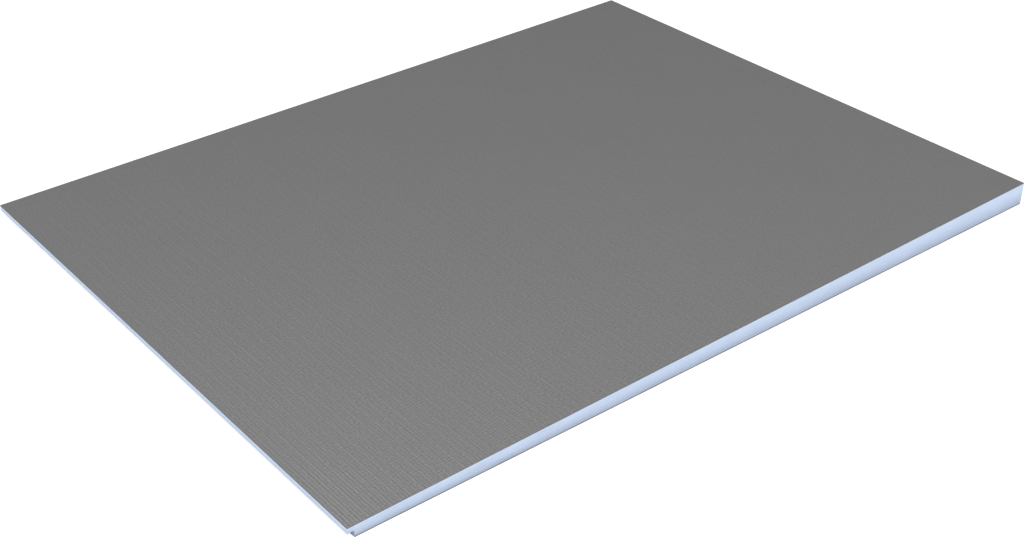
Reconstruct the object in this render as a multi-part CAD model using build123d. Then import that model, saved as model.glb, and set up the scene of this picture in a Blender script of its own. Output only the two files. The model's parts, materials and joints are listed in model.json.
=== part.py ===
from build123d import *
import os
from math import atan2, cos

# Sloping board for the floor of a tiled shower: a foam wedge with a mortar coat on both broad sides.
# Lengths are in millimetres. +X runs up the fall, from the drain edge to the wall edge, +Y runs along
# the drain edge, and +Z is up. The origin is on the underside, below the middle of the board.

# The board as it is bought
BOARD_LENGTH = 1200.0
BOARD_WIDTH = 900.0
DRAIN_EDGE_HEIGHT = 17.0
WALL_EDGE_HEIGHT = 35.0

# Mortar coats, each measured square to the side that it covers
TOP_FACING_THICKNESS = 1.0
BOTTOM_FACING_THICKNESS = 1.0

# Rebate under the drain edge, which lets the board lap over the flange of a floor drain.
# The lip left above it is measured at its outer end, over its coat.
LIP_THICKNESS = 8.0
REBATE_DEPTH = 9.0

# Stations along the fall
DRAIN_EDGE_X = -BOARD_LENGTH / 2
WALL_EDGE_X = BOARD_LENGTH / 2
REBATE_WALL_X = DRAIN_EDGE_X + REBATE_DEPTH

# The fall, and the heights that follow from it
FALL_ANGLE = atan2(WALL_EDGE_HEIGHT - DRAIN_EDGE_HEIGHT, BOARD_LENGTH)
TOP_FACING_DROP = TOP_FACING_THICKNESS / cos(FALL_ANGLE)
DRAIN_EDGE_FOAM_TOP = DRAIN_EDGE_HEIGHT - TOP_FACING_DROP
WALL_EDGE_FOAM_TOP = WALL_EDGE_HEIGHT - TOP_FACING_DROP
LIP_UNDERSIDE = DRAIN_EDGE_HEIGHT - LIP_THICKNESS


def across_the_board(*profile):
    """Solid with the side profile given as (x, z) corners, running the full width of the board."""
    outline = make_face(Plane.XZ * Polyline(*profile, close=True))
    return extrude(outline, amount=BOARD_WIDTH / 2, both=True)


def foam_core():
    """Foam wedge between the two coats, with the lip that the rebate leaves at its drain edge."""
    return across_the_board(
        (REBATE_WALL_X, BOTTOM_FACING_THICKNESS),
        (WALL_EDGE_X, BOTTOM_FACING_THICKNESS),
        (WALL_EDGE_X, WALL_EDGE_FOAM_TOP),
        (DRAIN_EDGE_X, DRAIN_EDGE_FOAM_TOP),
        (DRAIN_EDGE_X, LIP_UNDERSIDE),
        (REBATE_WALL_X, LIP_UNDERSIDE),
    )


def top_facing():
    """Coat on the sloping side, sawn off plumb with the foam at both edges."""
    return across_the_board(
        (DRAIN_EDGE_X, DRAIN_EDGE_FOAM_TOP),
        (WALL_EDGE_X, WALL_EDGE_FOAM_TOP),
        (WALL_EDGE_X, WALL_EDGE_HEIGHT),
        (DRAIN_EDGE_X, DRAIN_EDGE_HEIGHT),
    )


def bottom_facing():
    """Coat on the level underside, which stops at the rebate's wall."""
    return across_the_board(
        (REBATE_WALL_X, 0.0),
        (WALL_EDGE_X, 0.0),
        (WALL_EDGE_X, BOTTOM_FACING_THICKNESS),
        (REBATE_WALL_X, BOTTOM_FACING_THICKNESS),
    )


NODES = {
    "foam_core": foam_core,
    "top_facing": top_facing,
    "bottom_facing": bottom_facing,
}

os.makedirs("parts", exist_ok=True)
for node, make in NODES.items():
    export_step(make(), f"parts/{node}.step")
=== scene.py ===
"""Looks for the shower sloping board: a foam wedge between two mortar coats with a woven mesh in them.

The board lies on a pale studio floor. In its own frame +X runs up the fall, from the thin drain edge to
the thick wall edge, +Y runs along the drain edge and +Z is up. Lengths are in metres.
"""

import json
import logging
import math
from dataclasses import dataclass
from enum import Enum
from functools import reduce
from typing import Any, NamedTuple

import bmesh
import bpy
import numpy as np
from mathutils import Matrix, Vector, noise


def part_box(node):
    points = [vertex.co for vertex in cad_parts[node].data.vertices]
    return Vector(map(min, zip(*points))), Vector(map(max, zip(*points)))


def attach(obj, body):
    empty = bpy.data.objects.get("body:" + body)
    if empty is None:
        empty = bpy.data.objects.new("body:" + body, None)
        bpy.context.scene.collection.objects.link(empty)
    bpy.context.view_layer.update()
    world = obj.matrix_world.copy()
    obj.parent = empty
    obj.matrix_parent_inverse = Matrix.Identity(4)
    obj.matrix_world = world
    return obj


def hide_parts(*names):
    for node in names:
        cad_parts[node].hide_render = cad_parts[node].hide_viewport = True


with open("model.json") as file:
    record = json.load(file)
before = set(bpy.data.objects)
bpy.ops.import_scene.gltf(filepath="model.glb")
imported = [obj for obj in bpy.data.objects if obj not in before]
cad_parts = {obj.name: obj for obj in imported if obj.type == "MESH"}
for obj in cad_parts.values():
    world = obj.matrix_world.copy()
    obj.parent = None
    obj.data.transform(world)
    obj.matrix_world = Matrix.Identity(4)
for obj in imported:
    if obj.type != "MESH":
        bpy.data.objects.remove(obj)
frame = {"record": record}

log = logging.getLogger("sloping_board")

Triple = tuple[float, float, float]
Socket = bpy.types.NodeSocket
Tree = bpy.types.NodeTree
Material = bpy.types.Material
Row = list[Vector]

MM = 0.001
BODY = "root"
YARN_TONE = "yarn_tone"
CUT_EDGE = "cut_edge"

# Tones of the sand's dark and pale grains
GRAIN_TONES = (0.95, 1.05)


class Part(Enum):
    """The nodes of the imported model."""

    CORE = "foam_core"
    TOP_FACING = "top_facing"
    BOTTOM_FACING = "bottom_facing"


class Slot(Enum):
    """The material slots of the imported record."""

    FOAM = "foam"
    MORTAR = "mortar"


class Lay(Enum):
    """Which way a set of yarns runs in the mesh."""

    ACROSS = "weft"
    UP_THE_FALL = "warp"


@dataclass(frozen=True)
class Yarns:
    """One of the two sets of yarns that the mesh is woven from, the same in every coat."""

    lay: Lay
    pitch: float
    width: float
    stand_share: float
    print_through: float
    seed: int


@dataclass(frozen=True)
class BoardSizes:
    """The board's stations and heights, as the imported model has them."""

    drain_x: float
    wall_x: float
    half_width: float
    rebate_x: float
    lip_underside: float
    bottom_coat: float
    top_at_middle: float
    foam_at_middle: float
    slope: float

    @classmethod
    def from_frame(cls) -> "BoardSizes":
        """Read the sizes from the frame's nodes and mounts.

        Returns:
            The sizes, in metres.
        """
        mounts = {mount["name"]: mount for mount in frame["record"]["mounts"]}
        bed, lip = mounts["tile_bed"], mounts["drain_lip_underside"]
        slope = -bed["axis"][0] / bed["axis"][2]
        top_at_middle = bed["pos_m"][2] - bed["pos_m"][0] * slope
        core_low, core_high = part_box(Part.CORE.value)
        under_low, under_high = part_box(Part.BOTTOM_FACING.value)
        return cls(
            drain_x=core_low.x,
            wall_x=core_high.x,
            half_width=core_high.y,
            rebate_x=under_low.x,
            lip_underside=lip["pos_m"][2],
            bottom_coat=under_high.z,
            top_at_middle=top_at_middle,
            foam_at_middle=core_high.z - core_high.x * slope,
            slope=slope,
        )

    @property
    def top_coat(self) -> float:
        """Height of the top coat, measured plumb."""
        return self.top_at_middle - self.foam_at_middle

    def foam_top(self, x: float) -> float:
        """Height of the foam's sloping side at a station along the fall."""
        return self.foam_at_middle + self.slope * x


class NodeBench:
    """Adds nodes to a tree and wires them by the identifiers or names of their sockets."""

    def __init__(self, tree: Tree) -> None:
        """Take up the tree."""
        self.tree = tree

    @staticmethod
    def find(sockets: Any, key: str) -> Socket:
        """Find a socket by its identifier, or else by its name."""
        known = [socket for socket in sockets if socket.identifier == key]
        return known[0] if known else next(socket for socket in sockets if socket.name == key)

    def add(self, kind: str, inputs: dict[str, Any] | None = None, **settings: Any) -> bpy.types.Node:
        """Add a node.

        Args:
            kind: Blender's name of the node type.
            inputs: What each input is fed with, an output of another node or a plain value.
            **settings: The node's own properties.

        Returns:
            The node.
        """
        node = self.tree.nodes.new(kind)
        for name, setting in settings.items():
            setattr(node, name, setting)
        for key, value in (inputs or {}).items():
            target = self.find(node.inputs, key)
            if isinstance(value, Socket):
                self.tree.links.new(value, target)
            else:
                target.default_value = value
        return node

    def out(self, kind: str, output: str, inputs: dict[str, Any] | None = None, **settings: Any) -> Socket:
        """Add a node and return one of its outputs, found by identifier or name."""
        return self.find(self.add(kind, inputs, **settings).outputs, output)

    def math(self, operation: str, first: Any, second: Any = 0.0) -> Socket:
        """Add a Math node and return its value."""
        inputs = {"Value": first, "Value_001": second}
        return self.out("ShaderNodeMath", "Value", inputs, operation=operation)

    def product(self, *factors: Any) -> Socket:
        """Multiply numbers together."""
        return reduce(lambda first, second: self.math("MULTIPLY", first, second), factors)

    def total(self, *terms: Any) -> Socket:
        """Add numbers together."""
        return reduce(lambda first, second: self.math("ADD", first, second), terms)

    def one_minus(self, value: Any) -> Socket:
        """Take a number from one."""
        return self.math("SUBTRACT", 1.0, value)

    def blend(self, first: Any, second: Any, share: float) -> Socket:
        """Blend two numbers, given the first one's share."""
        return self.total(self.product(first, share), self.product(second, 1.0 - share))

    def vector(self, operation: str, first: Any, second: Any = (0.0, 0.0, 0.0)) -> Socket:
        """Add a Vector Math node and return its vector."""
        inputs = {"Vector": first, "Vector_001": second}
        return self.out("ShaderNodeVectorMath", "Vector", inputs, operation=operation)

    def axes(self, vector: Any) -> Any:
        """Take a vector apart into outputs X, Y and Z."""
        return self.add("ShaderNodeSeparateXYZ", {"Vector": vector}).outputs

    def combined(self, **axes: Any) -> Socket:
        """Put a vector together from X, Y and Z, which are zero where they aren't given."""
        return self.out("ShaderNodeCombineXYZ", "Vector", axes)

    def ramp(self, value: Any, low: float, high: float, to_low: float = 0.0, to_high: float = 1.0) -> Socket:
        """Map the values from low to high smoothly onto those from to_low to to_high."""
        inputs = {"Value": value, "From Min": low, "From Max": high, "To Min": to_low, "To Max": to_high}
        return self.out("ShaderNodeMapRange", "Result", inputs, interpolation_type="SMOOTHSTEP")

    def swing(self, value: Any, contrast: Any) -> Socket:
        """Turn a signal from 0 to 1 into a tone that swings by the contrast either way of 1."""
        centred = self.math("SUBTRACT", value, 0.5)
        return self.total(self.product(centred, contrast, 2.0), 1.0)

    def noise(self, vector: Any, scale: Any, detail: float = 2.0) -> Socket:
        """Soft noise between 0 and 1, mostly near 0.5, with so many features to the metre."""
        inputs = {"Vector": vector, "Scale": scale, "Detail": detail}
        return self.out("ShaderNodeTexNoise", "Fac", inputs)

    def shade(self, colour: Any, tone: Any) -> Socket:
        """Multiply a colour by a tone."""
        inputs = {"Factor_Float": 1.0, "A_Color": colour, "B_Color": tone}
        return self.out("ShaderNodeMix", "Result_Color", inputs, data_type="RGBA", blend_type="MULTIPLY")

    def bump(self, height: Any) -> Socket:
        """Turn a height in metres into a normal."""
        return self.out("ShaderNodeBump", "Normal", {"Strength": 1.0, "Distance": 1.0, "Height": height})


class GroupBench(NodeBench):
    """Bench of a shader group, which hands out the group's own inputs by name."""

    def __init__(self, name: str, inputs: dict[str, float], outputs: tuple[str, ...]) -> None:
        """Start the group.

        Args:
            name: The group's name.
            inputs: Its number inputs with their usual values, besides the vector that every group takes.
            outputs: Its number outputs.
        """
        super().__init__(bpy.data.node_groups.new(name, "ShaderNodeTree"))
        new_socket = self.tree.interface.new_socket
        new_socket(name="Vector", in_out="INPUT", socket_type="NodeSocketVector")
        for label, value in inputs.items():
            new_socket(name=label, in_out="INPUT", socket_type="NodeSocketFloat").default_value = value
        for label in outputs:
            new_socket(name=label, in_out="OUTPUT", socket_type="NodeSocketFloat")
        self.inputs = self.add("NodeGroupInput").outputs

    def given(self, label: str) -> Socket:
        """One of the group's inputs."""
        return self.find(self.inputs, label)

    def per(self, label: str) -> Socket:
        """One divided by one of the group's inputs, such as the scale that gives a size."""
        return self.math("DIVIDE", 1.0, self.given(label))

    def give(self, outputs: dict[str, Socket]) -> Tree:
        """Feed the group's outputs and hand over its tree."""
        self.add("NodeGroupOutput", outputs)
        return self.tree


class SurfaceEffects:
    """The effects that the board's finishes share, each a group that is given the object's coordinates."""

    # Features to the metre of the slow noise that lines waver and thin patches come and go with
    SLOW = 9.0

    # How much finer the small grains are, the large grains' share, and the relief of a grain
    FINENESS = 4.3
    COARSE_SHARE = 0.65
    GRAIN_RELIEF = 0.06

    # Step to a dash's neighbour, in dashes, the layer of noise that the weft's dashes are read from, and
    # the shares of the contrast that the weft's and the warp's take
    FLANK = 0.5
    OTHER_LAYER = 3.7
    DASH_SHARES = (0.8, 1.15)

    # Features along each axis of the saw's streaks and of its chatter, and the streaks' share
    STREAKS = (0.06, 0.06, 2.2)
    CHATTER = (1.0, 1.0, 0.12)
    STREAK_SHARE = 0.85

    def __init__(self) -> None:
        """Build each effect once."""
        self.sand = self._sand()
        self.cloud = self._cloud()
        self.lines = self._lines()
        self.dashes = self._dashes()
        self.thin = self._thin()
        self.marks = self._marks()

    def _sand(self) -> Tree:
        """Sand grains in a fine paste, in two sizes.

        Returns:
            The group's tree.
        """
        bench = GroupBench("sand_grain", {"Grain": 1.0 * MM, "Contrast": 0.03}, ("Tone", "Height"))
        place, scale = bench.given("Vector"), bench.per("Grain")
        coarse = bench.noise(place, scale)
        fine = bench.noise(place, bench.product(scale, self.FINENESS), detail=1.0)
        mixed = bench.blend(coarse, fine, self.COARSE_SHARE)
        height = bench.product(bench.math("SUBTRACT", mixed, 0.5), bench.given("Grain"), self.GRAIN_RELIEF)
        return bench.give({"Tone": bench.swing(mixed, bench.given("Contrast")), "Height": height})

    def _cloud(self) -> Tree:
        """Soft patches where a mix is a little lighter or darker.

        Returns:
            The group's tree.
        """
        bench = GroupBench("cloudiness", {"Size": 0.1, "Contrast": 0.02}, ("Tone",))
        soft = bench.noise(bench.given("Vector"), bench.per("Size"), detail=3.0)
        return bench.give({"Tone": bench.swing(soft, bench.given("Contrast"))})

    def _lines(self) -> Tree:
        """Even lines along Y, left in the wet coat by the roller that pressed the mesh in.

        Returns:
            The group's tree.
        """
        inputs = {"Spacing": 10 * MM, "Waver": 1 * MM, "Depth": 0.1 * MM, "Contrast": 0.01}
        bench = GroupBench("drag_lines", inputs, ("Tone", "Height"))
        place = bench.given("Vector")
        stray = bench.math("SUBTRACT", bench.noise(place, self.SLOW), 0.5)
        shifted = bench.total(bench.axes(place)["X"], bench.product(stray, bench.given("Waver"), 2.0))
        turn = bench.product(bench.math("DIVIDE", shifted, bench.given("Spacing")), math.tau)
        crest = bench.math("COSINE", turn)
        # Painted shade and light: the tone is darker in the troughs and lighter on the crests
        tone = bench.total(bench.product(crest, bench.given("Contrast")), 1.0)
        return bench.give({"Tone": tone, "Height": bench.product(crest, bench.given("Depth"), 0.5)})

    def _dashes(self) -> Tree:
        """Short dashes along both sets of yarns, where more or less paste lies over them.

        Returns:
            The group's tree.
        """
        inputs = {"Width": 4 * MM, "Length": 20 * MM, "Contrast": 0.02}
        bench = GroupBench("mesh_dashes", inputs, ("Tone",))
        narrow, short = bench.per("Width"), bench.per("Length")
        ways = (
            (bench.combined(X=narrow, Y=short), (self.FLANK, 0.0, 0.0), self.OTHER_LAYER),
            (bench.combined(X=short, Y=narrow), (0.0, self.FLANK, 0.0), 0.0),
        )
        tones = []
        for (stretch, flank, layer), share in zip(ways, self.DASH_SHARES):
            stretched = bench.vector("MULTIPLY", bench.given("Vector"), stretch)
            place = bench.vector("ADD", stretched, (0.0, 0.0, layer))
            here = bench.noise(place, 1.0, detail=1.0)
            beside = bench.noise(bench.vector("ADD", place, flank), 1.0, detail=1.0)
            ridge = bench.total(bench.math("SUBTRACT", here, beside), 0.5)
            tones.append(bench.swing(ridge, bench.product(bench.given("Contrast"), share)))
        return bench.give({"Tone": bench.product(*tones)})

    def _thin(self) -> Tree:
        """How thin the paste lies over the mesh, most at the corner where the trowel set off.

        Amount falls with the distance from the corner, and Slant along both edges at once.

        Returns:
            The group's tree.
        """
        inputs = {"Corner X": 0.0, "Corner Y": 0.0, "Reach": 1.0, "Slant Reach": 1.4, "Patches": 0.1}
        ways = {"Amount": ("LENGTH", "Reach"), "Slant": ("DOT_PRODUCT", "Slant Reach")}
        bench = GroupBench("thin_coat", inputs, tuple(ways))
        flat = (1.0, 1.0, 0.0)
        place = bench.given("Vector")
        corner = bench.combined(X=bench.given("Corner X"), Y=bench.given("Corner Y"))
        offset = bench.vector("SUBTRACT", bench.vector("MULTIPLY", place, flat), corner)
        patches = bench.swing(bench.noise(place, self.SLOW), bench.given("Patches"))
        outputs = {}
        for label, (operation, reach) in ways.items():
            gap_inputs = {"Vector": offset, "Vector_001": flat}
            gap = bench.out("ShaderNodeVectorMath", "Value", gap_inputs, operation=operation)
            fade = {"Value": gap, "From Max": bench.given(reach), "To Min": 1.0, "To Max": 0.0}
            outputs[label] = bench.product(bench.out("ShaderNodeMapRange", "Result", fade), patches)
        return bench.give(outputs)

    def _marks(self) -> Tree:
        """Long level streaks and faint upright chatter that a saw leaves on a cut edge.

        Returns:
            The group's tree.
        """
        inputs = {"Spacing": 3 * MM, "Depth": 0.02 * MM, "Contrast": 0.02}
        bench = GroupBench("saw_marks", inputs, ("Tone", "Height"))
        place, scale = bench.given("Vector"), bench.per("Spacing")
        streaks = bench.noise(bench.vector("MULTIPLY", place, self.STREAKS), scale)
        chatter = bench.noise(bench.vector("MULTIPLY", place, self.CHATTER), scale, detail=1.0)
        mixed = bench.blend(streaks, chatter, self.STREAK_SHARE)
        height = bench.product(bench.math("SUBTRACT", mixed, 0.5), bench.given("Depth"))
        return bench.give({"Tone": bench.swing(mixed, bench.given("Contrast")), "Height": height})


class MaterialBench(NodeBench):
    """Bench of a material, with the object's own coordinates and the shared effects at hand."""

    def __init__(self, name: str, effects: SurfaceEffects | None = None) -> None:
        """Start the material with no nodes.

        Args:
            name: The material's name.
            effects: The shared effects, where the material has any.
        """
        self.material = bpy.data.materials.new(name)
        self.material.use_nodes = True
        super().__init__(self.material.node_tree)
        self.tree.nodes.clear()
        self.effects = effects
        self.coordinates = self.out("ShaderNodeTexCoord", "Object")

    def effect(self, tree: Tree, inputs: dict[str, Any]) -> Any:
        """Lay a shared effect over the object, and return its outputs."""
        return self.add("ShaderNodeGroup", {"Vector": self.coordinates, **inputs}, node_tree=tree).outputs

    def end(self, surface: Socket) -> Material:
        """Make a shader the material's surface, and hand over the material."""
        self.add("ShaderNodeOutputMaterial", {"Surface": surface})
        return self.material

    def principled(self, inputs: dict[str, Any]) -> Material:
        """End the material in a Principled shader fed with the inputs."""
        return self.end(self.out("ShaderNodeBsdfPrincipled", "BSDF", inputs))


def grey(level: float) -> tuple[float, float, float, float]:
    """A neutral colour."""
    return level, level, level, 1.0


@dataclass(frozen=True)
class DragLine:
    """One spacing of the roller's lines, deeper where the coat is thin, and there with stronger painted
    shade.
    """

    spacing: float
    depth: float
    least: float
    contrast: float
    fade: int
    waver: float = 0.5 * MM

    def lay(self, bench: MaterialBench, thin: Socket) -> Any:
        """Lay the lines over the object.

        Args:
            bench: The material's bench.
            thin: How thin the coat is.

        Returns:
            The outputs of the lines' group: Tone and Height.
        """
        strength = bench.product(*[thin] * self.fade)
        share = bench.total(bench.product(strength, 1.0 - self.least), self.least)
        return bench.effect(bench.effects.lines, {
            "Spacing": self.spacing,
            "Waver": self.waver,
            "Depth": bench.product(share, self.depth),
            # How strong the lines' painted shade is, most where the coat is thin
            "Contrast": bench.product(strength, self.contrast),
        })


class PasteLayer(NamedTuple):
    """What the paste gives a material: its tone, its sand and lines, and how bare it leaves the mesh."""

    tone: Socket
    sand: Any
    line_height: Socket
    bareness: Socket


@dataclass(frozen=True)
class Paste:
    """Grey polymer cement with fine sand in it, drawn thinnest at one corner, where the mesh shows most.

    Uneven cover over the yarns shows as dashes there, and the roller left lines in two spacings.
    """

    corner: tuple[float, float]
    reach: float = 1.3
    slant_reach: float = 1.85
    patches: float = 0.14
    colour: float = 0.1865
    grain_contrast: float = 0.042
    thin_grain_contrast: float = 0.09
    cloud_size: float = 0.09
    cloud_contrast: float = 0.022
    dash_width: float = 2.25 * MM
    dash_length: float = 6.5 * MM
    dash_contrast: float = 0.284
    full_dashes_from: float = 0.95
    lines: tuple[DragLine, ...] = (
        DragLine(spacing=14.63 * MM, depth=0.33 * MM, least=0.4, contrast=0.019, fade=1),
        DragLine(spacing=7.32 * MM, depth=0.28 * MM, least=0.3, contrast=0.045, fade=2),
    )

    def lay(self, bench: MaterialBench, grain: float) -> PasteLayer:
        """Lay the paste over the object.

        Args:
            bench: The material's bench.
            grain: Size of its coarser sand grains.

        Returns:
            What the rest of the material needs of it.
        """
        effects = bench.effects
        cover = bench.effect(effects.thin, {
            "Corner X": self.corner[0],
            "Corner Y": self.corner[1],
            "Reach": self.reach,
            "Slant Reach": self.slant_reach,
            "Patches": self.patches,
        })
        thin = cover["Amount"]
        thinnest = bench.product(thin, thin, thin)
        grains = bench.total(bench.product(thinnest, self.thin_grain_contrast), self.grain_contrast)
        sand = bench.effect(effects.sand, {"Grain": grain, "Contrast": grains})
        cloud = bench.effect(effects.cloud, {"Size": self.cloud_size, "Contrast": self.cloud_contrast})
        dashes = bench.effect(effects.dashes, {
            "Width": self.dash_width,
            "Length": self.dash_length,
            "Contrast": bench.ramp(cover["Slant"], 0.0, self.full_dashes_from, 0.0, self.dash_contrast),
        })
        laid = [line.lay(bench, thin) for line in self.lines]
        return PasteLayer(
            tone=bench.product(*[layer["Tone"] for layer in (sand, cloud, dashes, *laid)]),
            sand=sand,
            line_height=bench.total(*[line["Height"] for line in laid]),
            bareness=bench.product(thinnest, thinnest),
        )


@dataclass(frozen=True)
class MortarFinish:
    """Matt paste between the yarns, darker where the saw cut it, on the underside coat's edge mostly as
    painted shade.
    """

    paste: Paste
    name: str = "mortar_coat"
    grain: float = 1.6 * MM
    # Tone of a fully darkened cut edge, mostly painted shade at the floor on the underside coat
    cut_tone: float = 0.2
    # Painted shade that darkens the paste in the hollows between the yarns where the coat is thinnest
    hollow_shade: float = 0.05
    mark_spacing: float = 1.2 * MM
    mark_depth: float = 0.05 * MM
    mark_contrast: float = 0.12
    least_cut: float = 0.01
    grain_roughness: tuple[float, float] = (0.94, 0.82)

    def build(self, effects: SurfaceEffects) -> Material:
        """Make the material.

        Args:
            effects: The shared effects.

        Returns:
            The material.
        """
        bench = MaterialBench(self.name, effects)
        paste = self.paste.lay(bench, self.grain)
        cut = bench.out("ShaderNodeAttribute", "Fac", attribute_name=CUT_EDGE)
        sawn = bench.math("GREATER_THAN", cut, self.least_cut)
        marks = bench.effect(effects.marks, {
            "Spacing": self.mark_spacing,
            "Depth": self.mark_depth,
            "Contrast": bench.product(sawn, self.mark_contrast),
        })
        # Painted shade in the hollows between the yarns
        hollow_shading = bench.one_minus(bench.product(paste.bareness, self.hollow_shade))
        # Darker cut edge: raw cut, and on the underside coat mostly painted shade where it meets the floor
        edge_tone = bench.one_minus(bench.product(cut, 1.0 - self.cut_tone))
        tones = (paste.tone, hollow_shading, edge_tone, marks["Tone"])
        heights = (
            paste.sand["Height"],
            bench.product(paste.line_height, bench.one_minus(sawn)),
            bench.product(marks["Height"], sawn),
        )
        return bench.principled({
            "Base Color": bench.shade(grey(self.paste.colour), bench.product(*tones)),
            "Roughness": bench.ramp(paste.sand["Tone"], *GRAIN_TONES, *self.grain_roughness),
            "Specular IOR Level": 0.2,
            "Normal": bench.bump(bench.total(*heights)),
        })


@dataclass(frozen=True)
class YarnFinish:
    """Glass yarns under a skin of paste, a shade lighter than it where the coat is thinnest.

    Their strands turn once in each twist along the yarn, and by twist_lean radians a metre across it.
    """

    paste: Paste
    yarns: Yarns
    grain: float = 1.3 * MM
    spread: float = 0.014
    twist: float = 2.6 * MM
    twist_lean: float = 2200.0
    twist_depth: float = 0.03 * MM
    grain_roughness: tuple[float, float] = (0.88, 0.76)

    def build(self, effects: SurfaceEffects) -> Material:
        """Make the material.

        Args:
            effects: The shared effects.

        Returns:
            The material.
        """
        bench = MaterialBench(f"mortared_{self.yarns.lay.value}", effects)
        paste = self.paste.lay(bench, self.grain)
        own = bench.swing(bench.out("ShaderNodeAttribute", "Fac", attribute_name=YARN_TONE), self.spread)
        shown = bench.total(bench.product(paste.bareness, self.yarns.print_through), 1.0)
        axes = bench.axes(bench.coordinates)
        along, beside = ("Y", "X") if self.yarns.lay is Lay.ACROSS else ("X", "Y")
        turns = bench.product(axes[along], math.tau / self.twist)
        lean = bench.product(axes[beside], self.twist_lean)
        strands = bench.product(bench.math("SINE", bench.total(turns, lean)), self.twist_depth / 2)
        return bench.principled({
            "Base Color": bench.shade(grey(self.paste.colour), bench.product(paste.tone, own, shown)),
            "Roughness": bench.ramp(paste.sand["Tone"], *GRAIN_TONES, *self.grain_roughness),
            "Specular IOR Level": 0.25,
            "Normal": bench.bump(bench.total(paste.sand["Height"], strands, paste.line_height)),
        })


@dataclass(frozen=True)
class FoamFinish:
    """Pale blue extruded foam, cut open to show its fine cells, with painted shade darker towards its
    underside.
    """

    sizes: BoardSizes
    name: str = "blue_foam"
    colour: Triple = (0.541, 0.641, 0.812)
    # Tone at the top of the sides, and the painted shade that darkens them towards the foot and in the
    # recess under the lip
    unshaded_tone: float = 1.05
    floor_shade: float = 0.41
    shade_patch_scale: float = 14.0
    shade_patch_contrast: float = 0.2
    lip_foot: float = 6 * MM
    recess_reach: float = 0.3 * MM
    recess_rise: float = 0.1 * MM
    recess_shade: float = 0.3
    cell: float = 0.35 * MM
    cell_depth: float = 0.03 * MM
    cell_contrast: float = 0.08
    cell_range: tuple[float, float] = (0.2, 0.8)
    cell_roughness: tuple[float, float] = (0.62, 0.82)
    cloud_size: float = 30 * MM
    cloud_contrast: float = 0.025
    streak_spacing: float = 3 * MM
    streak_depth: float = 0.08 * MM
    streak_contrast: float = 0.2
    mottle: float = 1.5 * MM
    mottle_contrast: float = 0.12

    def shaded_towards_floor(self, bench: MaterialBench) -> Socket:
        """Tone of painted shade on the foam's sides, darker the lower it is and in the recess under the lip.

        Args:
            bench: The material's bench.

        Returns:
            The tone.
        """
        s = self.sizes
        axes = bench.axes(bench.coordinates)
        foam_top = bench.total(bench.product(axes["X"], s.slope), s.foam_at_middle)
        on_lip = bench.math("LESS_THAN", axes["X"], s.rebate_x)
        foot = bench.total(bench.product(on_lip, self.lip_foot), s.bottom_coat)
        down = bench.math("SUBTRACT", foam_top, axes["Z"])
        share = bench.math("DIVIDE", down, bench.math("SUBTRACT", foam_top, foot))
        # Painted shade, darker the further down the side, in uneven patches
        shade_patches = bench.noise(bench.coordinates, self.shade_patch_scale, detail=3.0)
        patchy_shade = bench.swing(shade_patches, self.shade_patch_contrast)
        tone = bench.math("SUBTRACT", self.unshaded_tone, bench.product(share, share, patchy_shade, self.floor_shade))
        # More painted shade in the recess under the lip
        recess = bench.product(
            bench.math("LESS_THAN", axes["X"], s.rebate_x + self.recess_reach),
            bench.math("LESS_THAN", axes["Z"], s.lip_underside + self.recess_rise),
        )
        return bench.product(tone, bench.one_minus(bench.product(recess, self.recess_shade)))

    def build(self, effects: SurfaceEffects) -> Material:
        """Make the material.

        Args:
            effects: The shared effects.

        Returns:
            The material.
        """
        bench = MaterialBench(self.name, effects)
        cells_inputs = {"Vector": bench.coordinates, "Scale": 1.0 / self.cell}
        cells = bench.out("ShaderNodeTexVoronoi", "Distance", cells_inputs)
        cloud = bench.effect(effects.cloud, {"Size": self.cloud_size, "Contrast": self.cloud_contrast})
        mottle = bench.effect(effects.sand, {"Grain": self.mottle, "Contrast": self.mottle_contrast})
        marks = bench.effect(effects.marks, {
            "Spacing": self.streak_spacing,
            "Depth": self.streak_depth,
            "Contrast": self.streak_contrast,
        })
        laid = [layer["Tone"] for layer in (mottle, cloud, marks)]
        # The last tone is painted shade towards the floor
        tones = (bench.swing(cells, self.cell_contrast), *laid, self.shaded_towards_floor(bench))
        pits = bench.product(cells, self.cell_depth)
        return bench.principled({
            "Base Color": bench.shade((*self.colour, 1.0), bench.product(*tones)),
            "Roughness": bench.ramp(cells, *self.cell_range, *self.cell_roughness),
            "Specular IOR Level": 0.3,
            "Normal": bench.bump(bench.total(pits, marks["Height"])),
        })


def in_scene(name: str, data: Any) -> bpy.types.Object:
    """Make an object and link it to the scene.

    Args:
        name: The object's name.
        data: Its mesh, lamp or camera.

    Returns:
        The object.
    """
    thing = bpy.data.objects.new(name, data)
    bpy.context.scene.collection.objects.link(thing)
    return thing


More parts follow.
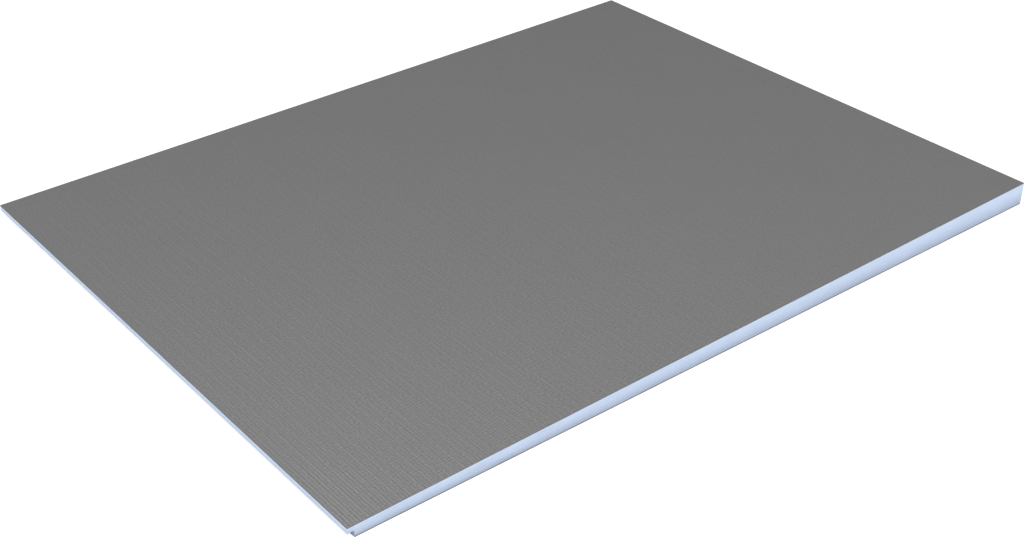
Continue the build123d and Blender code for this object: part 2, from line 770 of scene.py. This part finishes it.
class ShellMesh:
    """Gathers grids of points into one closed mesh whose seams are merged."""

    SEAM_GAP = 0.001 * MM
    CRISP_FROM = math.radians(35.0)

    def __init__(self, name: str) -> None:
        """Start empty.

        Args:
            name: The piece's name.
        """
        self.name = name
        self.work = bmesh.new()
        self.cut = self.work.faces.layers.float.new(CUT_EDGE)

    def grid(self, rows: list[Row], cut: float = 0.0) -> None:
        """Add a patch of quads.

        Args:
            rows: The patch's points, row by row, all of one length.
            cut: How far faces that the saw left are darkened, as raw cut and painted shade, up to one, and
                zero elsewhere.
        """
        verts = [[self.work.verts.new(point) for point in row] for row in rows]
        for low, high in zip(verts, verts[1:]):
            for column in range(len(low) - 1):
                corners = (low[column], low[column + 1], high[column + 1], high[column])
                self.work.faces.new(corners)[self.cut] = cut

    def close(self, finish: Material) -> bpy.types.Object:
        """Merge the seams, fill the hidden openings and turn the faces outwards.

        Args:
            finish: The mesh's material.

        Returns:
            The finished object.
        """
        bmesh.ops.remove_doubles(self.work, verts=self.work.verts, dist=self.SEAM_GAP)
        rim = [edge for edge in self.work.edges if edge.is_boundary]
        bmesh.ops.holes_fill(self.work, edges=rim, sides=0)
        bmesh.ops.recalc_face_normals(self.work, faces=self.work.faces)
        open_edges = sum(1 for edge in self.work.edges if not edge.is_manifold)
        mesh = bpy.data.meshes.new(self.name)
        self.work.to_mesh(mesh)
        self.work.free()
        mesh.polygons.foreach_set("use_smooth", [True] * len(mesh.polygons))
        mesh.set_sharp_from_angle(angle=self.CRISP_FROM)
        mesh.materials.append(finish)
        log.info("%s: %d faces, %d open edges", self.name, len(mesh.polygons), open_edges)
        return in_scene(self.name, mesh)


def stations(low: float, high: float, gap: float) -> list[float]:
    """Evenly spaced stations from low to high, about a gap apart."""
    count = max(1, round((high - low) / gap))
    return [float(value) for value in np.linspace(low, high, count + 1)]


@dataclass(frozen=True)
class FoamCore:
    """Foam wedge whose sawn edges are a little uneven, with the rebate under its drain edge."""

    sizes: BoardSizes
    gap: float = 3 * MM
    upper_rows: int = 6
    lower_rows: int = 3
    unevenness: float = 0.06 * MM
    stray_scale: float = 60.0
    stray_rise: float = 3.0

    def patch(self, shell: ShellMesh, rows: list[Row], inward: Vector) -> None:
        """Add one face, where the saw's path strays into the foam but the arrises stay true.

        Args:
            shell: The mesh to add it to.
            rows: The face's points, row by row.
            inward: Direction into the foam.
        """
        for row in rows[1:-1]:
            for column, point in enumerate(row[1:-1], 1):
                place = Vector((point.x, point.y, point.z * self.stray_rise)) * self.stray_scale
                stray = 0.5 + 0.5 * max(-1.0, min(1.0, noise.noise(place)))
                row[column] = point + inward * (self.unevenness * stray)
        shell.grid(rows, cut=1.0)

    def build(self, finish: Material) -> None:
        """Make the foam wedge.

        Args:
            finish: Its material.
        """
        s = self.sizes
        lip = stations(s.drain_x, s.rebate_x, self.gap)
        body = stations(s.rebate_x, s.wall_x, self.gap)
        whole = lip + body[1:]
        width = stations(-s.half_width, s.half_width, self.gap)
        low_z = [float(z) for z in np.linspace(s.bottom_coat, s.lip_underside, self.lower_rows + 1)]
        parts = [row / self.upper_rows for row in range(self.upper_rows + 1)]

        def high_z(x: float, part: float) -> float:
            """Height of an upper row at a station."""
            return s.lip_underside + (s.foam_top(x) - s.lip_underside) * part

        shell = ShellMesh(Part.CORE.value + "_sawn")
        for side in (-1.0, 1.0):
            y = side * s.half_width
            lower = [[Vector((x, y, z)) for x in body] for z in low_z]
            upper = [[Vector((x, y, high_z(x, part))) for x in whole] for part in parts]
            for rows in (lower, upper):
                self.patch(shell, rows, Vector((0.0, -side, 0.0)))
        for x, heights, inward in (
            (s.wall_x, low_z, -1.0),
            (s.wall_x, [high_z(s.wall_x, part) for part in parts], -1.0),
            (s.rebate_x, low_z, 1.0),
            (s.drain_x, [high_z(s.drain_x, part) for part in parts], 1.0),
        ):
            rows = [[Vector((x, y, z)) for y in width] for z in heights]
            self.patch(shell, rows, Vector((inward, 0.0, 0.0)))
        under = [[Vector((x, y, s.lip_underside)) for y in width] for x in lip]
        self.patch(shell, under, Vector((0.0, 0.0, 1.0)))
        piece = shell.close(finish)
        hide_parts(Part.CORE.value)
        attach(piece, BODY)


@dataclass(frozen=True)
class MortarCoat:
    """Mortar coat on one broad side, with the mesh's yarns standing a little proud of it.

    Its thickness is measured plumb, and low_x is its first station along the fall.
    """

    sizes: BoardSizes
    part: Part
    thickness: float
    low_x: float
    gap: float = 10 * MM
    yarn_stand: float = 0.1 * MM
    ripple: float = 0.05 * MM
    ripple_scale: float = 14.0
    ripple_layer: float = 3.0
    arris: float = 0.10 * MM
    chip_scale: float = 130.0
    least_chip: float = 0.75
    chip_range: float = 0.5
    inset: float = 0.02 * MM
    # How far the cut edge is darkened: raw cut, and on the underside coat mostly painted shade
    raw_cut_and_shade: float = 0.3

    def surface_point(self, x: float, y: float) -> Vector:
        """A point of the coat's outer side, which ripples a little."""
        place = Vector((x * self.ripple_scale, y * self.ripple_scale, self.ripple_layer))
        return Vector((x, y, -self.yarn_stand - self.ripple * (0.5 + 0.5 * noise.noise(place))))

    def chip(self, x: float, y: float) -> float:
        """How far the sawn arris has crumbled at a place on the outline."""
        rough = abs(noise.noise(Vector((x, y, 1.0)) * self.chip_scale))
        return self.arris * (self.least_chip + self.chip_range * rough)

    def build(self, finish: Material) -> None:
        """Make the coat.

        Args:
            finish: Its material.
        """
        s = self.sizes
        low_x, high_x = self.low_x + self.inset, s.wall_x - self.inset
        low_y, high_y = -s.half_width + self.inset, s.half_width - self.inset
        xs, ys = stations(low_x, high_x, self.gap), stations(low_y, high_y, self.gap)
        shell = ShellMesh(self.part.value + "_coat")

        def pulled(x: float, y: float) -> Vector:
            """The outer side's point, pulled in where it lies on the outline.

            Args:
                x: Station along the fall.
                y: Station along the drain edge.

            Returns:
                The point.
            """
            shift_x = (x == xs[0]) - (x == xs[-1])
            shift_y = (y == ys[0]) - (y == ys[-1])
            crumble = self.chip(x, y)
            point = self.surface_point(x, y)
            return point + Vector((shift_x * crumble, shift_y * crumble, 0.0))

        shell.grid([[pulled(x, y) for x in xs] for y in ys])
        outline = [(x, ys[0]) for x in xs] + [(xs[-1], y) for y in ys[1:]]
        outline += [(x, ys[-1]) for x in reversed(xs[:-1])] + [(xs[0], y) for y in reversed(ys[:-1])]
        top = [pulled(x, y) for x, y in outline]
        arris = [Vector((x, y, -self.yarn_stand - self.ripple - self.chip(y, x))) for x, y in outline]
        foot = [Vector((x, y, -self.thickness)) for x, y in outline]
        shell.grid([foot, arris, top], cut=self.raw_cut_and_shade)
        self.lay_on(shell.close(finish))

    def lay_on(self, piece: bpy.types.Object) -> None:
        """Carry a piece drawn flat, with its outer side up, onto the coat's side and register it.

        Args:
            piece: The coat or a layer of its yarns.
        """
        plane, s = Matrix(), self.sizes
        if self.part is Part.TOP_FACING:
            plane[2][0], plane[2][3] = s.slope, s.top_at_middle
        else:
            plane[2][2] = -1.0
            piece.data.flip_normals()
        piece.data.transform(plane)
        piece.data.update()
        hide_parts(self.part.value)
        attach(piece, BODY)


class YarnTree(NodeBench):
    """Geometry nodes that lay like yarns side by side on a flat layer, with their crests at its top."""

    # Features to the metre of the yarns' wander and of their sag, and where the sag's noise lies
    WANDER = 7.0
    SAG = 25.0
    ELSEWHERE = (3.0, 5.0, 7.0)

    INPUTS = {
        "Count": ("NodeSocketInt", 10),
        "Start": ("NodeSocketVector", (0.0, 0.0, 0.0)),
        "Step": ("NodeSocketVector", (0.01, 0.0, 0.0)),
        "Run": ("NodeSocketVector", (0.0, 1.0, 0.0)),
        "Points": ("NodeSocketInt", 13),
        "Width": ("NodeSocketFloat", 1.6 * MM),
        "Depth": ("NodeSocketFloat", 0.3 * MM),
        "Crest": ("NodeSocketFloat", 0.0),
        "Waver": ("NodeSocketFloat", 0.4 * MM),
        "Sag": ("NodeSocketFloat", 0.03 * MM),
        "Seed": ("NodeSocketInt", 1),
        "Finish": ("NodeSocketMaterial", None),
    }

    def __init__(self) -> None:
        """Build the tree once for all layers."""
        super().__init__(bpy.data.node_groups.new("yarn_layer", "GeometryNodeTree"))
        for name, (kind, usual) in self.INPUTS.items():
            socket = self.tree.interface.new_socket(name=name, in_out="INPUT", socket_type=kind)
            if usual is not None:
                socket.default_value = usual
        self.tree.interface.new_socket(name="Geometry", in_out="OUTPUT", socket_type="NodeSocketGeometry")
        inputs = self.add("NodeGroupInput").outputs
        self.given = {name: self.find(inputs, name) for name in self.INPUTS}
        self._wire()

    def _wire(self) -> None:
        """Lay out the tree: lines, copies, waver, tube, merge and finish."""
        given = self.given
        line = self.out("GeometryNodeCurvePrimitiveLine", "Curve", {"End": given["Run"]})
        run = self.out("GeometryNodeResampleCurve", "Curve", {"Curve": line, "Count": given["Points"]})
        posts_inputs = {"Count": given["Count"], "Start Location": given["Start"], "Offset": given["Step"]}
        posts = self.out("GeometryNodeMeshLine", "Mesh", posts_inputs, mode="OFFSET")
        yarns = self.out("GeometryNodeInstanceOnPoints", "Instances", {"Points": posts, "Instance": run})
        seeded = {"Seed": given["Seed"]}
        tone = self.out("FunctionNodeRandomValue", "Value_001", seeded, data_type="FLOAT")
        kept = {"Geometry": yarns, "Name": YARN_TONE, "Value": tone}
        on_each = {"data_type": "FLOAT", "domain": "INSTANCE"}
        toned = self.out("GeometryNodeStoreNamedAttribute", "Geometry", kept, **on_each)
        loose = self.out("GeometryNodeRealizeInstances", "Geometry", {"Geometry": toned})
        up = self.out("GeometryNodeSetCurveNormal", "Curve", {"Curve": self._stray(loose)}, mode="Z_UP")
        tube_inputs = {"Curve": up, "Profile Curve": self._profile(), "Fill Caps": True}
        tube = self.out("GeometryNodeCurveToMesh", "Mesh", tube_inputs)
        smooth = self.out("GeometryNodeSetShadeSmooth", "Geometry", {"Geometry": tube})
        solid = self.out("GeometryNodeRealizeInstances", "Geometry", {"Geometry": smooth})
        dressed = {"Geometry": solid, "Material": given["Finish"]}
        self.add("NodeGroupOutput", {"Geometry": self.out("GeometryNodeSetMaterial", "Geometry", dressed)})

    def _profile(self) -> Socket:
        """Draw half of a flat oval, whose crest is at the layer's top. A profile's -Y comes out upwards.

        Returns:
            The closed curve.
        """
        arc_inputs = {"Resolution": 5, "Radius": 1.0, "Start Angle": math.pi, "Sweep Angle": math.pi}
        arc = self.out("GeometryNodeCurveArc", "Curve", arc_inputs)
        ring = self.out("GeometryNodeSetSplineCyclic", "Geometry", {"Geometry": arc, "Cyclic": True})
        depth = self.given["Depth"]
        size = self.combined(X=self.product(self.given["Width"], 0.5), Y=depth, Z=1.0)
        shift = self.combined(Y=self.math("SUBTRACT", depth, self.given["Crest"]))
        placed = {"Geometry": ring, "Scale": size, "Translation": shift}
        return self.out("GeometryNodeTransform", "Geometry", placed)

    def _stray(self, yarns: Socket) -> Socket:
        """Let the yarns wander sideways together, and sag a little below the layer's top.

        Args:
            yarns: The straight yarns.

        Returns:
            The yarns as they lie.
        """
        place = self.out("GeometryNodeInputPosition", "Position")
        shift = self.math("SUBTRACT", self.noise(place, self.WANDER), 0.5)
        far = self.product(shift, self.given["Waver"], 2.0)
        beside = self.vector("MULTIPLY", self.vector("NORMALIZE", self.given["Step"]), far)
        low = self.noise(self.vector("ADD", place, self.ELSEWHERE), self.SAG, detail=1.0)
        down = self.combined(Z=self.product(low, self.given["Sag"], -1.0))
        moved = {"Geometry": yarns, "Offset": self.vector("ADD", beside, down)}
        return self.out("GeometryNodeSetPosition", "Geometry", moved)

    def lay(self, name: str, values: dict[str, Any]) -> bpy.types.Object:
        """Lay one set of yarns.

        Args:
            name: The piece's name.
            values: What each of the tree's inputs is set to.

        Returns:
            The yarns as one plain mesh, still flat.
        """
        piece = in_scene(name, bpy.data.meshes.new(name))
        modifier = piece.modifiers.new("yarns", "NODES")
        modifier.node_group = self.tree
        for key, value in values.items():
            modifier[self.given[key].identifier] = value
        graph = bpy.context.evaluated_depsgraph_get()
        laid = piece.evaluated_get(graph)
        made = bpy.data.meshes.new_from_object(laid, preserve_all_data_layers=True, depsgraph=graph)
        piece.modifiers.remove(modifier)
        piece.data = made
        made.name = name
        log.info("%s: %d faces", name, len(made.polygons))
        return piece


@dataclass(frozen=True)
class MeshYarns:
    """One set of the mesh's yarns in a coat."""

    coat: MortarCoat
    yarns: Yarns
    root: float = 0.14 * MM
    waver: float = 0.5 * MM
    sag: float = 0.03 * MM
    points: int = 13
    end_gap: float = 0.15 * MM

    def build(self, tree: YarnTree, finish: Material) -> None:
        """Lay the yarns over the coat.

        Args:
            tree: The shared geometry nodes.
            finish: The yarns' material.
        """
        s, yarns = self.coat.sizes, self.yarns
        low = Vector((self.coat.low_x, -s.half_width, 0.0))
        high = Vector((s.wall_x, s.half_width, 0.0))
        step_axis, run_axis = (0, 1) if yarns.lay is Lay.ACROSS else (1, 0)
        span = high[step_axis] - low[step_axis]
        count = int((span - yarns.width - self.waver) / yarns.pitch) + 1
        start, step, run = Vector(low), Vector(), Vector()
        start[step_axis] += (span - (count - 1) * yarns.pitch) / 2
        start[run_axis] += self.end_gap
        step[step_axis] = yarns.pitch
        run[run_axis] = high[run_axis] - low[run_axis] - 2 * self.end_gap
        stand = yarns.stand_share * self.coat.yarn_stand
        values = {
            "Count": count, "Start": start, "Step": step, "Run": run, "Points": self.points,
            "Width": yarns.width, "Depth": stand + self.root, "Crest": stand - self.coat.yarn_stand,
            "Waver": self.waver, "Sag": self.sag, "Seed": yarns.seed, "Finish": finish,
        }
        self.coat.lay_on(tree.lay(f"{self.coat.part.value}_{yarns.lay.value}", values))


@dataclass(frozen=True)
class StudioFloor:
    """Plain pale floor that the camera sees as white, with the board's soft shadow on it."""

    board: BoardSizes
    half_size: float = 12.0
    colour: float = 0.6
    lift: float = 0.7
    contact: float = 1.05 * MM

    def build(self) -> None:
        s = self.half_size
        mesh = bpy.data.meshes.new("studio_floor")
        mesh.from_pydata([(-s, -s, 0.0), (s, -s, 0.0), (s, s, 0.0), (-s, s, 0.0)], [], [(0, 1, 2, 3)])
        mesh.materials.append(self.material())
        floor = in_scene("studio_floor", mesh)

    def stood_on(self, bench: MaterialBench) -> Socket:
        """Tell the floor that the board's underside stands on from the open floor.

        Args:
            bench: The floor's bench.

        Returns:
            One under the board, falling to zero close beside it.
        """
        low, high = self.board.rebate_x + self.contact, self.board.wall_x
        axes = bench.axes(bench.coordinates)
        along = bench.math("ABSOLUTE", bench.math("SUBTRACT", axes["X"], (low + high) / 2))
        across = bench.math("ABSOLUTE", axes["Y"])
        reaches = ((along, (high - low) / 2), (across, self.board.half_width))
        return bench.product(*[bench.ramp(gap, end, end + self.contact, 1.0, 0.0) for gap, end in reaches])

    def material(self) -> Material:
        """Diffuse white, lifted towards pure white for what the camera sees of it round the board.

        Returns:
            The floor's material.
        """
        bench = MaterialBench("studio_floor")
        matt = bench.out("ShaderNodeBsdfDiffuse", "BSDF", {"Color": grey(self.colour)})
        from_above = bench.one_minus(bench.out("ShaderNodeNewGeometry", "Backfacing"))
        clear = bench.one_minus(bench.product(self.stood_on(bench), from_above))
        glow = bench.out("ShaderNodeEmission", "Emission", {"Strength": bench.product(clear, self.lift)})
        seen = bench.out("ShaderNodeAddShader", "Shader", {"Shader": matt, "Shader_001": glow})
        surface = {"Fac": seen_directly(bench), "Shader": matt, "Shader_001": seen}
        return bench.end(bench.out("ShaderNodeMixShader", "Shader", surface))


def seen_directly(bench: NodeBench) -> Socket:
    """Tell the rays that show a surface from those that only carry its light.

    Args:
        bench: Bench of a material or of the world.

    Returns:
        One for camera, glossy and transmission rays, and zero for the rest.
    """
    rays = bench.add("ShaderNodeLightPath").outputs
    glossy = bench.math("MAXIMUM", rays["Is Glossy Ray"], rays["Is Transmission Ray"])
    return bench.math("MAXIMUM", rays["Is Camera Ray"], glossy)


@dataclass(frozen=True)
class Sky:
    """Even light from all round, which the camera sees as white."""

    strength: float = 0.67

    def build(self) -> None:
        """Make the world."""
        world = bpy.data.worlds.new("studio_sky")
        bpy.context.scene.world = world
        world.use_nodes = True
        bench = NodeBench(world.node_tree)
        world.node_tree.nodes.clear()
        strength = bench.ramp(seen_directly(bench), 0.0, 1.0, self.strength, 1.0)
        light = bench.out("ShaderNodeBackground", "Background", {"Color": grey(1.0), "Strength": strength})
        bench.add("ShaderNodeOutputWorld", {"Surface": light})


@dataclass(frozen=True)
class SoftLamp:
    """Rectangular lamp that faces a point of the board."""

    name: str
    place: Triple
    aim: Triple
    size: tuple[float, float]
    watts: float

    def build(self) -> None:
        """Hang the lamp."""
        data = bpy.data.lights.new(self.name, "AREA")
        data.shape = "RECTANGLE"
        data.size, data.size_y = self.size
        data.energy = self.watts
        lamp = in_scene(self.name, data)
        lamp.location = self.place
        facing = Vector(self.aim) - Vector(self.place)
        lamp.rotation_euler = facing.to_track_quat("-Z", "Y").to_euler()
        lamp.visible_camera = False


@dataclass(frozen=True)
class StudioCamera:
    """Camera that looks down on the board from beyond its near drain corner."""

    place: Triple = (-1.2791, -1.5443, 1.1352)
    gaze: Triple = (0.52369, 0.66547, -0.53188)
    picture: tuple[float, float] = (1024.0, 537.0)
    focal_pixels: float = 1563.4
    centre_pixel: tuple[float, float] = (480.05, 280.67)
    sensor: float = 36.0
    clip: tuple[float, float] = (0.01, 100.0)

    def build(self) -> None:
        """Set up the camera and make it the scene's own."""
        data = bpy.data.cameras.new("studio_camera")
        data.sensor_width = self.sensor
        wide, high = self.picture
        data.lens = self.sensor * self.focal_pixels / wide
        data.shift_x = (wide / 2 - self.centre_pixel[0]) / wide
        data.shift_y = (self.centre_pixel[1] - high / 2) / wide
        data.clip_start, data.clip_end = self.clip
        camera = in_scene("studio_camera", data)
        camera.location = self.place
        camera.rotation_euler = Vector(self.gaze).to_track_quat("-Z", "Y").to_euler()
        bpy.context.scene.camera = camera


@dataclass(frozen=True)
class Studio:
    """Camera, floor, sky and lamps round the board."""

    board: BoardSizes
    camera: StudioCamera = StudioCamera()
    sky: Sky = Sky()
    lamps: tuple[SoftLamp, ...] = (
        SoftLamp("key_softbox", place=(-1.0, -1.0, 1.3), aim=(-0.4, -0.3, 0.0), size=(0.6, 0.6), watts=11.1),
        SoftLamp("right_softbox", place=(1.3, -2.4, 0.6), aim=(0.4, -0.4, 0.0), size=(0.8, 0.8), watts=20.2),
        SoftLamp("left_softbox", place=(-2.4, 0.8, 0.35), aim=(-0.5, 0.1, 0.0), size=(0.8, 0.8), watts=13.3),
    )

    def build(self) -> None:
        """Set up the studio."""
        bpy.context.scene.view_settings.view_transform = "Standard"
        self.camera.build()
        StudioFloor(self.board).build()
        self.sky.build()
        for lamp in self.lamps:
            lamp.build()
        log.info("studio: camera, floor, sky and %d lamps", len(self.lamps))


@dataclass(frozen=True)
class SlopingBoard:
    """The whole board: foam core, two mortar coats and the mesh in each."""

    sizes: BoardSizes
    weft: Yarns = Yarns(
        Lay.ACROSS, pitch=4.39 * MM, width=1.5 * MM, stand_share=1.0, print_through=0.27, seed=11,
    )
    warp: Yarns = Yarns(
        Lay.UP_THE_FALL, pitch=4.49 * MM, width=1.1 * MM, stand_share=0.62, print_through=0.19, seed=23,
    )

    def build(self) -> None:
        """Make and dress every piece."""
        s = self.sizes
        effects = SurfaceEffects()
        paste = Paste(corner=(s.drain_x, -s.half_width))
        mortar = MortarFinish(paste).build(effects)
        sets = [(yarns, YarnFinish(paste, yarns).build(effects)) for yarns in (self.weft, self.warp)]
        FoamCore(s).build(FoamFinish(s).build(effects))
        tree = YarnTree()
        top = MortarCoat(s, Part.TOP_FACING, s.top_coat, s.drain_x)
        # The underside coat's cut edge is darkened fully, mostly as painted shade where it meets the floor
        bottom = MortarCoat(
            s, Part.BOTTOM_FACING, s.bottom_coat, s.rebate_x,
            yarn_stand=0.07 * MM, ripple=0.02 * MM, arris=0.05 * MM, raw_cut_and_shade=1.0,
        )
        for coat in (top, bottom):
            coat.build(mortar)
            for yarns, finish in sets:
                MeshYarns(coat, yarns).build(tree, finish)


def main() -> None:
    """Build the studio and the board."""
    logging.basicConfig(level=logging.INFO, format="%(name)s: %(message)s")
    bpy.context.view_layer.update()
    sizes = BoardSizes.from_frame()
    Studio(sizes).build()
    SlopingBoard(sizes).build()


if __name__ == "__main__":
    main()
